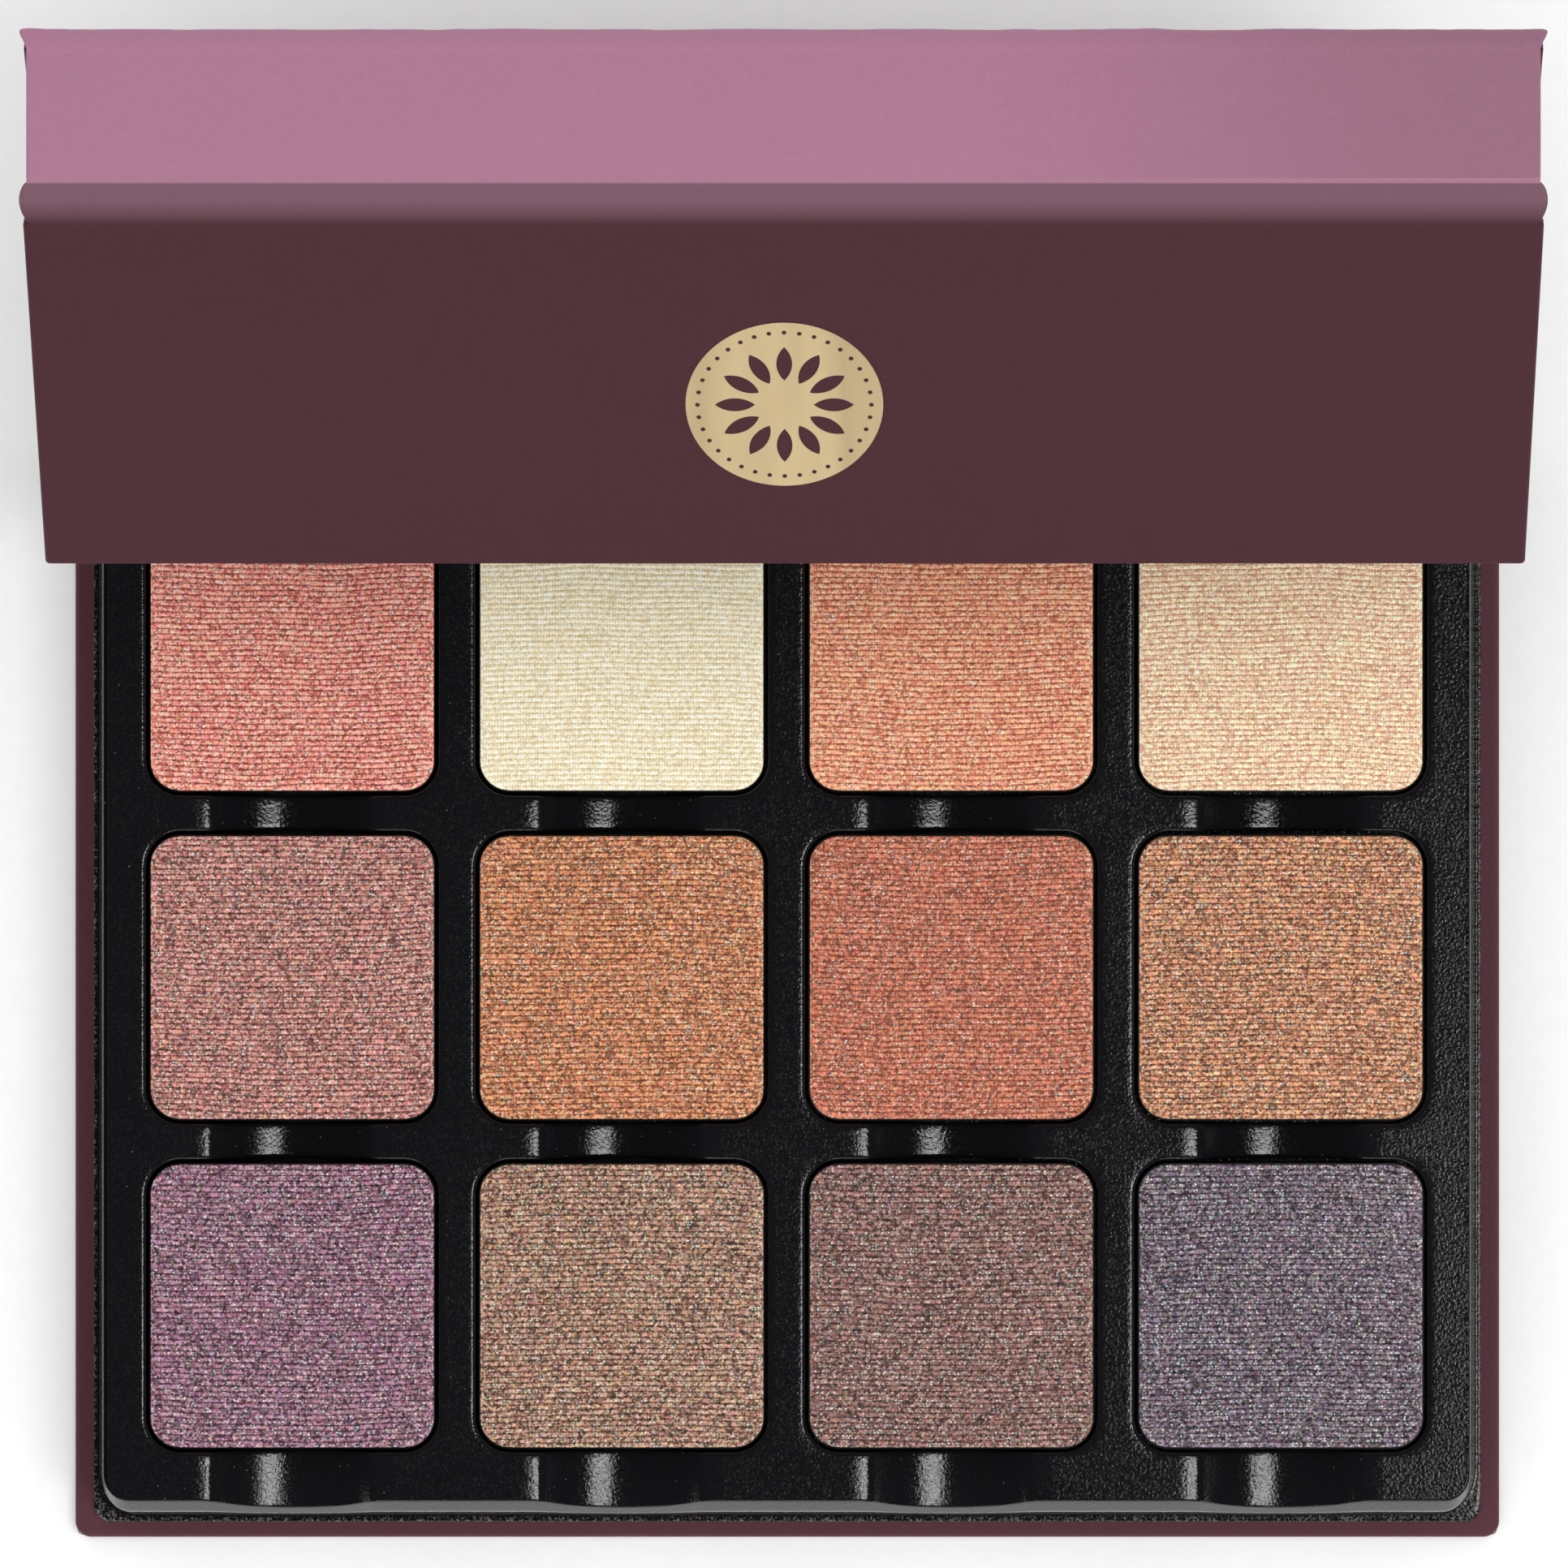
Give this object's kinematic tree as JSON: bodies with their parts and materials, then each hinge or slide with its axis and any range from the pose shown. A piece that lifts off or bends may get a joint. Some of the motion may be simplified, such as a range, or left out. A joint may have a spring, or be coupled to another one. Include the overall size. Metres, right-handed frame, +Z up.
{
  "type": "eyeshadow palette",
  "caption": "Flat rectangular eyeshadow palette: square powder pans in a black formed insert, in a paper-wrapped board case with a three-panel folding cover and a round foil emblem.",
  "frame": {"origin": "centre of the flat underside of the base", "axes": "+X to the right, +Y towards the hinge at the back, +Z up; the object lies flat with its cover open"},
  "size_m": [0.1372, 0.139, 0.0534],
  "materials": {
    "grey_board": "matt, uncoated",
    "burgundy_paper": "soft-touch matt lamination",
    "mauve_paper": "soft-touch matt lamination",
    "black_liner_paper": "matt, uncoated",
    "black_gloss_plastic": "vacuum-formed high gloss",
    "magnetic_rubber": "matt, calendered",
    "plated_magnet": "nickel plated",
    "black_lacquered_tinplate": "black lacquer, satin",
    "gold_foil": "hot-stamped metallic foil",
    "powder_apricot": "pressed pearl powder with a fine woven-cloth texture",
    "powder_cream": "pressed pearl powder with a fine woven-cloth texture",
    "powder_peach": "pressed pearl powder with a fine woven-cloth texture",
    "powder_sand": "pressed pearl powder with a fine woven-cloth texture",
    "powder_dusky_rose": "pressed pearl powder with a fine woven-cloth texture",
    "powder_amber": "pressed pearl powder with a fine woven-cloth texture",
    "powder_russet": "pressed pearl powder with a fine woven-cloth texture",
    "powder_copper": "pressed pearl powder with a fine woven-cloth texture",
    "powder_mulberry": "pressed pearl powder with a fine woven-cloth texture",
    "powder_olive_bronze": "pressed pearl powder with a fine woven-cloth texture",
    "powder_cocoa": "pressed pearl powder with a fine woven-cloth texture",
    "powder_pewter": "pressed pearl powder with a fine woven-cloth texture"
  },
  "bodies": {
    "base": {"bottom_board": "grey_board", "spine_board": "grey_board", "base_wrap": "burgundy_paper", "insert_tray": "black_gloss_plastic", "magnet_sheet": "magnetic_rubber", "base_magnet_left": "plated_magnet", "base_magnet_right": "plated_magnet"},
    "rear_panel": {"rear_board": "grey_board", "rear_wrap": "burgundy_paper", "rear_liner": "black_liner_paper"},
    "strip_panel": {"strip_board": "grey_board", "strip_wrap": "mauve_paper", "strip_liner": "black_liner_paper"},
    "front_panel": {"front_board": "grey_board", "front_wrap": "burgundy_paper", "front_liner": "black_liner_paper", "lid_magnet_left": "plated_magnet", "lid_magnet_right": "plated_magnet", "emblem": "gold_foil"},
    "pan_apricot": {"pan_apricot": "black_lacquered_tinplate", "powder_apricot": "powder_apricot"},
    "pan_cream": {"pan_cream": "black_lacquered_tinplate", "powder_cream": "powder_cream"},
    "pan_peach": {"pan_peach": "black_lacquered_tinplate", "powder_peach": "powder_peach"},
    "pan_sand": {"pan_sand": "black_lacquered_tinplate", "powder_sand": "powder_sand"},
    "pan_dusky_rose": {"pan_dusky_rose": "black_lacquered_tinplate", "powder_dusky_rose": "powder_dusky_rose"},
    "pan_amber": {"pan_amber": "black_lacquered_tinplate", "powder_amber": "powder_amber"},
    "pan_russet": {"pan_russet": "black_lacquered_tinplate", "powder_russet": "powder_russet"},
    "pan_copper": {"pan_copper": "black_lacquered_tinplate", "powder_copper": "powder_copper"},
    "pan_mulberry": {"pan_mulberry": "black_lacquered_tinplate", "powder_mulberry": "powder_mulberry"},
    "pan_olive_bronze": {"pan_olive_bronze": "black_lacquered_tinplate", "powder_olive_bronze": "powder_olive_bronze"},
    "pan_cocoa": {"pan_cocoa": "black_lacquered_tinplate", "powder_cocoa": "powder_cocoa"},
    "pan_pewter": {"pan_pewter": "black_lacquered_tinplate", "powder_pewter": "powder_pewter"}
  },
  "joints": [
    {"name": "rear_hinge", "type": "hinge", "parent": "base", "child": "rear_panel", "pos_m": [0, 0.05225, 0.01285], "axis": [-1, 0, 0], "range_deg": [-130, 0]},
    {"name": "upper_fold", "type": "hinge", "parent": "rear_panel", "child": "strip_panel", "pos_m": [0, 0.08545, 0.05242], "axis": [-1, 0, 0], "range_deg": [0, 130]},
    {"name": "lower_fold", "type": "hinge", "parent": "strip_panel", "child": "front_panel", "pos_m": [0, 0.07025, 0.05242], "axis": [-1, 0, 0], "range_deg": [0, 37]},
    {"name": "lift_apricot", "type": "slide", "parent": "base", "child": "pan_apricot", "axis": [0, 0, 1], "range_m": [0, 0.01]},
    {"name": "lift_cream", "type": "slide", "parent": "base", "child": "pan_cream", "axis": [0, 0, 1], "range_m": [0, 0.01]},
    {"name": "lift_peach", "type": "slide", "parent": "base", "child": "pan_peach", "axis": [0, 0, 1], "range_m": [0, 0.01]},
    {"name": "lift_sand", "type": "slide", "parent": "base", "child": "pan_sand", "axis": [0, 0, 1], "range_m": [0, 0.01]},
    {"name": "lift_dusky_rose", "type": "slide", "parent": "base", "child": "pan_dusky_rose", "axis": [0, 0, 1], "range_m": [0, 0.01]},
    {"name": "lift_amber", "type": "slide", "parent": "base", "child": "pan_amber", "axis": [0, 0, 1], "range_m": [0, 0.01]},
    {"name": "lift_russet", "type": "slide", "parent": "base", "child": "pan_russet", "axis": [0, 0, 1], "range_m": [0, 0.01]},
    {"name": "lift_copper", "type": "slide", "parent": "base", "child": "pan_copper", "axis": [0, 0, 1], "range_m": [0, 0.01]},
    {"name": "lift_mulberry", "type": "slide", "parent": "base", "child": "pan_mulberry", "axis": [0, 0, 1], "range_m": [0, 0.01]},
    {"name": "lift_olive_bronze", "type": "slide", "parent": "base", "child": "pan_olive_bronze", "axis": [0, 0, 1], "range_m": [0, 0.01]},
    {"name": "lift_cocoa", "type": "slide", "parent": "base", "child": "pan_cocoa", "axis": [0, 0, 1], "range_m": [0, 0.01]},
    {"name": "lift_pewter", "type": "slide", "parent": "base", "child": "pan_pewter", "axis": [0, 0, 1], "range_m": [0, 0.01]}
  ],
  "couplings": [
    {"joint": "upper_fold", "follows": "rear_hinge", "ratio": -1},
    {"joint": "lower_fold", "follows": "rear_hinge", "ratio": -0.28462}
  ]
}
